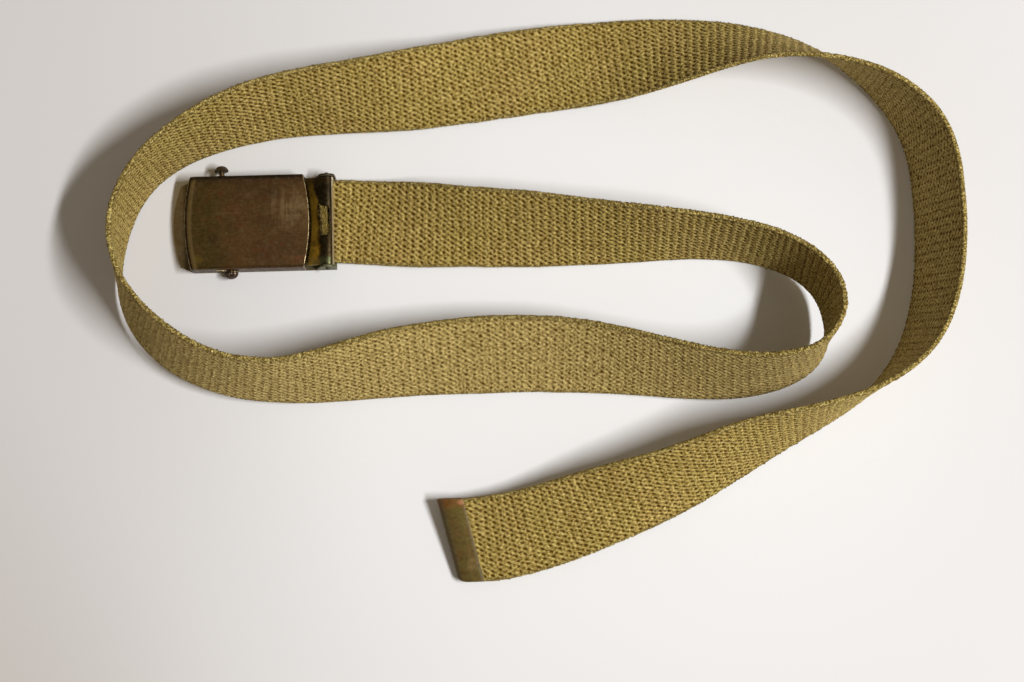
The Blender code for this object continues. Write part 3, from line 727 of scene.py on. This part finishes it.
def lever_material():
    """Amber brass that turns nearly black over the barrel, with a painted highlight stripe on the arm and a
    bright rim, partly bare worn metal and partly painted highlight.
    """
    m = Metal("old_brass_lever", srgb(222, 172, 58))
    m.layer(m.cloud(5.5, 0.38, 0.62), srgb(168, 130, 34), 0.8)
    m.layer(m.cloud(1.8, 0.5, 0.7), srgb(190, 130, 34), 0.6)
    # Painted highlight: a lighter vertical stripe down the lever's arm.
    m.layer(m.math("MULTIPLY", m.ramp(m.x, 21.6, 22.4), m.ramp(m.x, 23.6, 22.8)), srgb(208, 158, 46), 0.6)
    shade = m.math("ADD", m.x, m.math("MULTIPLY", m.cloud(5.0, 0.2, 0.8), 1.6))
    shade = m.math("ADD", shade, m.math("MULTIPLY", m.ramp(m.y, 5.0, 15.0), 1.8))
    m.layer(m.ramp(m.y, 5.0, 11.0), srgb(74, 56, 16), 0.6)
    m.layer(m.spot(22.8, -8.6, 2.2, 1.8, 0.8), srgb(70, 54, 16), 0.7)
    m.layer(m.ramp(shade, 24.4, 26.0), srgb(22, 17, 10), 0.97)
    m.layer(m.math("MULTIPLY", m.ramp(m.y, -12.6, -14.6), m.cloud(2.0, 0.3, 0.6)), srgb(96, 100, 66), 0.75)
    m.layer(m.ramp(m.y, 12.5, 15.0), srgb(60, 46, 24), 0.7)
    # Bright rim on the barrel's right edge: partly bare worn metal, partly painted highlight.
    m.layer(m.math("MULTIPLY", m.ramp(m.x, 29.5, 29.65), m.cloud(2.4, 0.2, 0.4)), srgb(232, 216, 182), 0.9)
    return m.finish(0.32, 0.8, BARE_BRASS, 0.5)


def tip_material():
    """Olive brass with a copper-coloured end, lighter grey at the east edge and darker grey at the west
    fold.
    """
    m = Metal("brass_tip", srgb(104, 90, 44))
    m.layer(m.cloud(6.0, 0.4, 0.62), srgb(104, 78, 42), 0.8)
    m.layer(m.cloud(2.2, 0.52, 0.7), srgb(98, 90, 40), 0.5)
    m.layer(m.math("MULTIPLY", m.ramp(m.y, -109.0, -106.6), m.cloud(3.0, 0.2, 0.6)), srgb(128, 78, 34), 0.8)
    m.layer(m.spot(75.5, -105.6, 2.2, 1.4), srgb(226, 156, 110), 0.6)
    m.layer(m.spot(78.5, -128.6, 3.2, 3.6, 1.0), srgb(150, 122, 80), 0.55)
    skewed = m.math("ADD", m.x, m.math("MULTIPLY", m.y, END_SKEW))
    # Lighter grey towards the east edge, darker grey towards the west fold.
    m.layer(m.ramp(skewed, 51.2, 52.2), srgb(118, 112, 88), 0.6)
    m.layer(m.ramp(skewed, 45.4, 44.4), srgb(84, 80, 64), 0.5)
    return m.finish(0.36, 0.6, BARE_WARM, 0.8)


def steel_material(name, dark, light):
    """A plain mottled metal for the small turned parts."""
    m = Metal(name, dark)
    m.layer(m.cloud(1.2, 0.4, 0.66), light, 0.7)
    m.layer(m.cloud(0.6, 0.55, 0.7), srgb(120, 84, 60), 0.4)
    return m.finish(0.26, 0.85, srgb(190, 176, 160), 0.6, 0.03)


def metal_piece(node, bevel, material, body):
    """Put a refined copy in the place of a CAD node."""
    made = refined(node, bevel)
    made.data.materials.append(material)
    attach(made, body)
    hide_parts(node)
    return made


def dress(node, material):
    """Give a CAD node, whose shape stays, a better material."""
    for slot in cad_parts[node].material_slots:
        slot.material = material


metal_piece("face_cover", 0.2, cover_material(), "belt")
metal_piece("base_frame", 0.14, base_material(), "belt")
metal_piece("clamp_lever", 0.1, lever_material(), "clamp")
metal_piece("belt_tip", 0.16, tip_material(), "belt")
knob_steel = steel_material("gunmetal_knob", srgb(80, 66, 54), srgb(108, 92, 74))
for knob in ("roller_knob_north", "roller_knob_south", "hinge_pin"):
    dress(knob, knob_steel)
inner_brass = steel_material("old_brass_inside", srgb(92, 72, 42), srgb(74, 58, 34))
for rod in ("roller_axle", "roller_sleeve"):
    dress(rod, inner_brass)

# Stage ------------------------------------------------------------------------------------------


FLOOR_SIZE = 6.0
FLOOR_MIDDLE = (0.12, -0.06, 0.0)
# BOARD_PLAIN and BOARD_CLOUD are the board's own colours; the brighter middle and the darker left and near
# corner are painted light and shade.
BOARD_PAINTED_LIGHT = (0.885, 0.876, 0.87)
BOARD_PLAIN = (0.78, 0.76, 0.748)
BOARD_PAINTED_SHADE_LEFT = (0.69, 0.665, 0.65)
BOARD_PAINTED_SHADE_CORNER = (0.59, 0.54, 0.50)
BOARD_CLOUD = (0.78, 0.755, 0.735)
TO_SHADED_CORNER = (-0.8, -0.6, 0.0)


def make_floor():
    """A pale board with painted light and shade: brightest in the middle and a little darker towards the
    left and its near corner.
    """
    bpy.ops.mesh.primitive_plane_add(size=FLOOR_SIZE, location=FLOOR_MIDDLE)
    floor = bpy.context.object
    floor.name = "floor"
    m = Nodes("pale_board")
    tone = m.noise(m.where, 260.0, 2.0, 0.5)
    grain = m.noise(m.where, 1.1, 2.0, 0.6)
    far = m.add("ShaderNodeVectorMath", operation="LENGTH")
    m.plug(far.inputs[0], m.where)
    corner = m.add("ShaderNodeVectorMath", operation="DOT_PRODUCT")
    m.plug(corner.inputs[0], m.where)
    corner.inputs[1].default_value = TO_SHADED_CORNER
    parts = m.add("ShaderNodeSeparateXYZ")
    m.plug(parts.inputs[0], m.where)
    # Painted pool of light in the middle of the board.
    colour = m.mix(m.ramp(far.outputs["Value"], 0.06, 0.19), BOARD_PAINTED_LIGHT, BOARD_PLAIN)
    # Painted shade towards the left and towards the near corner.
    colour = m.mix(m.ramp(parts.outputs[0], -0.06, -0.22), colour, BOARD_PAINTED_SHADE_LEFT)
    colour = m.mix(m.ramp(corner.outputs["Value"], 0.15, 0.27), colour, BOARD_PAINTED_SHADE_CORNER)
    colour = m.mix(m.math("MULTIPLY", m.ramp(tone, 0.3, 0.7), 0.3), colour, BOARD_CLOUD)
    m.set(Base_Color=colour, Roughness=0.75, Specular_IOR_Level=0.25, Normal=m.bump(grain, 0.02, 0.15))
    floor.data.materials.append(m.material)


CAMERA_LENS = 64.07
SENSOR_WIDTH = 36.0
LOOK_AT = Vector((95.33, -46.11, 0.0)) * MM
CAMERA_AT = Vector((93.31, -123.07, 675.63)) * MM
IMAGE_RIGHT = Vector((0.99966, -0.02618, 0.0))


def make_camera():
    data = bpy.data.cameras.new("camera")
    data.lens = CAMERA_LENS
    data.sensor_width = SENSOR_WIDTH
    camera = bpy.data.objects.new("camera", data)
    bpy.context.scene.collection.objects.link(camera)
    back = (CAMERA_AT - LOOK_AT).normalized()
    right = (IMAGE_RIGHT - back * IMAGE_RIGHT.dot(back)).normalized()
    turn = Matrix((right, back.cross(right), back)).transposed().to_4x4()
    camera.matrix_world = Matrix.Translation(CAMERA_AT) @ turn
    bpy.context.scene.camera = camera


LIGHT_AZIMUTH = -15.0
LIGHT_HEIGHT = 54.1
LIGHT_DISTANCE = 2.2
LIGHT_WIDTH = 0.95
LIGHT_DEPTH = 0.13
LIGHT_POWER = 50.8
LIGHT_COLOUR = (0.955, 0.975, 1.0)
FILL_STRENGTH = 0.22
FILL_COLOUR = (1.0, 0.87, 0.70, 1.0)


def make_lights():
    """One long soft light from the right, and a warm fill from all round."""
    data = bpy.data.lights.new("key", "AREA")
    data.shape = "RECTANGLE"
    data.size = LIGHT_WIDTH
    data.size_y = LIGHT_DEPTH
    data.energy = LIGHT_POWER
    data.color = LIGHT_COLOUR
    key = bpy.data.objects.new("key", data)
    bpy.context.scene.collection.objects.link(key)
    azimuth = math.radians(LIGHT_AZIMUTH)
    height = math.radians(LIGHT_HEIGHT)
    level = math.cos(height)
    towards = Vector((math.cos(azimuth) * level, math.sin(azimuth) * level, math.sin(height)))
    key.location = LOOK_AT + towards * LIGHT_DISTANCE
    key.rotation_mode = "QUATERNION"
    key.rotation_quaternion = towards.to_track_quat("Z", "Y")
    world = bpy.data.worlds.new("world")
    world.use_nodes = True
    fill = world.node_tree.nodes["Background"]
    fill.inputs["Color"].default_value = FILL_COLOUR
    fill.inputs["Strength"].default_value = FILL_STRENGTH
    bpy.context.scene.world = world
    bpy.context.scene.view_settings.view_transform = "Standard"


make_floor()
make_camera()
make_lights()
